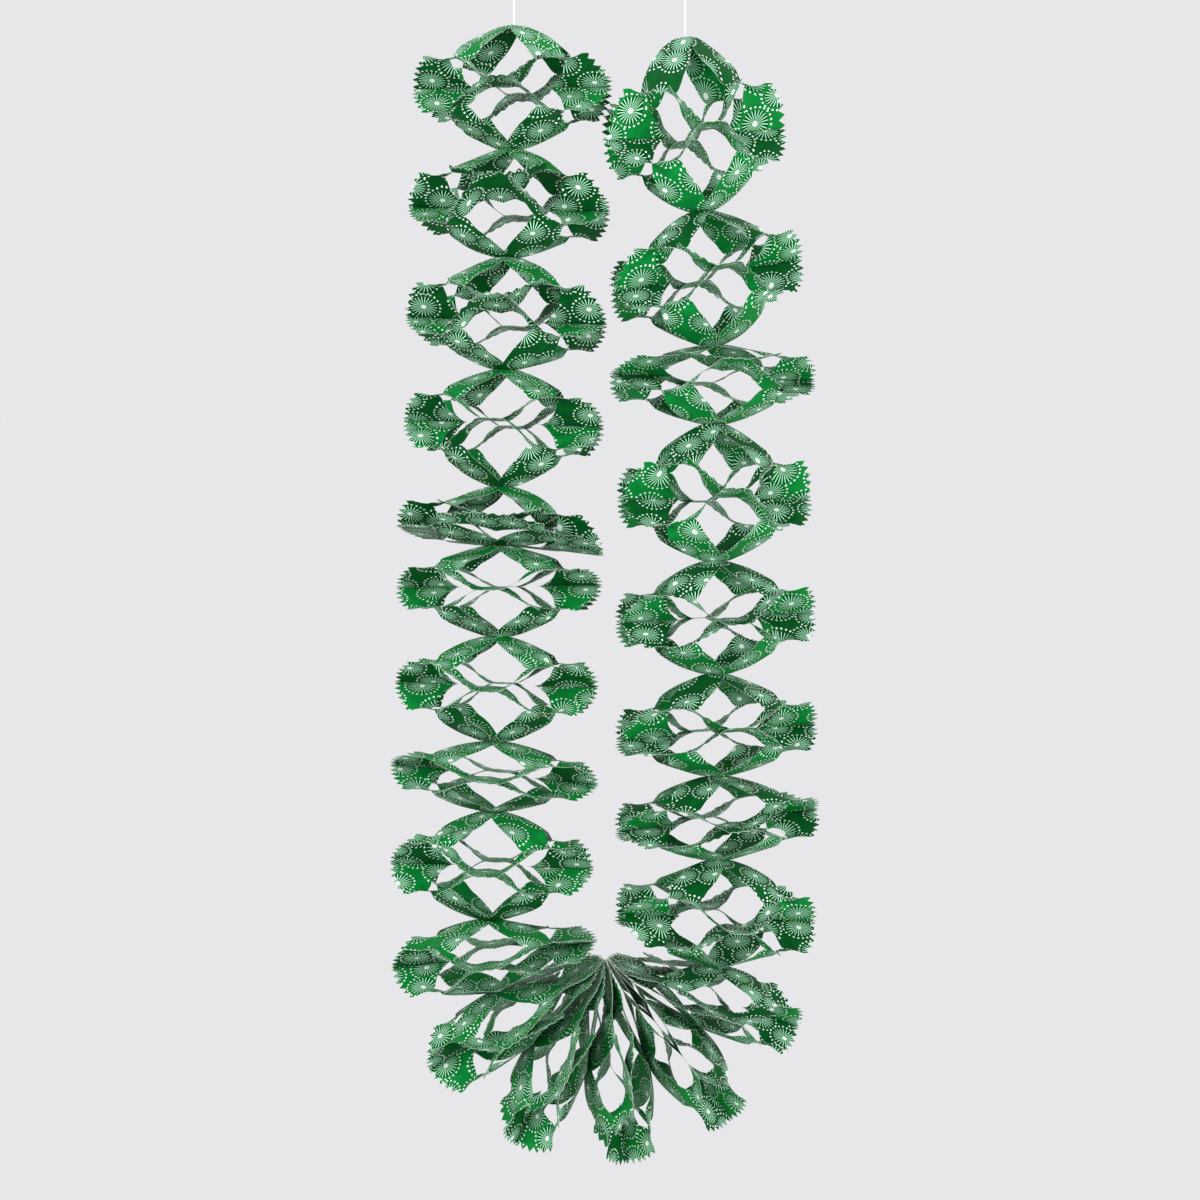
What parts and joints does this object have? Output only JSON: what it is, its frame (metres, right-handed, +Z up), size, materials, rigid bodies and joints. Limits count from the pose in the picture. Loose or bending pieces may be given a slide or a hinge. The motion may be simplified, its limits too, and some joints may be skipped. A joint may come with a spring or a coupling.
{
  "type": "honeycomb paper garland",
  "caption": "Honeycomb paper garland of die-cut green sheets with petals and toothed fans, opened into a row of cells and hung as a long U from a thread loop at each end.",
  "frame": {"origin": "midpoint between the two thread loops that the garland hangs from", "axes": "+Z up, +X towards the right run of the garland, +Y away from the viewer"},
  "size_m": [0.4303, 0.2108, 1.19],
  "materials": {
    "paper": "semi-gloss, printed",
    "thread": "matt twisted thread"
  },
  "bodies": {
    "root": {"paper_sheet_01": "paper", "paper_sheet_02": "paper", "paper_sheet_03": "paper", "paper_sheet_04": "paper", "paper_sheet_05": "paper", "paper_sheet_06": "paper", "paper_sheet_07": "paper", "paper_sheet_08": "paper", "paper_sheet_09": "paper", "paper_sheet_10": "paper", "paper_sheet_11": "paper", "paper_sheet_12": "paper", "paper_sheet_13": "paper", "paper_sheet_14": "paper", "paper_sheet_15": "paper", "paper_sheet_16": "paper", "paper_sheet_17": "paper", "paper_sheet_18": "paper", "paper_sheet_19": "paper", "paper_sheet_20": "paper", "paper_sheet_21": "paper", "paper_sheet_22": "paper", "paper_sheet_23": "paper", "paper_sheet_24": "paper", "paper_sheet_25": "paper", "paper_sheet_26": "paper", "paper_sheet_27": "paper", "paper_sheet_28": "paper", "paper_sheet_29": "paper", "paper_sheet_30": "paper", "paper_sheet_31": "paper", "paper_sheet_32": "paper", "paper_sheet_33": "paper", "paper_sheet_34": "paper", "paper_sheet_35": "paper", "paper_sheet_36": "paper", "paper_sheet_37": "paper", "paper_sheet_38": "paper", "paper_sheet_39": "paper", "paper_sheet_40": "paper", "paper_sheet_41": "paper", "paper_sheet_42": "paper", "paper_sheet_43": "paper", "paper_sheet_44": "paper", "paper_sheet_45": "paper", "paper_sheet_46": "paper", "thread_left": "thread", "loop_left": "thread", "thread_right": "thread", "loop_right": "thread"}
  },
  "joints": []
}
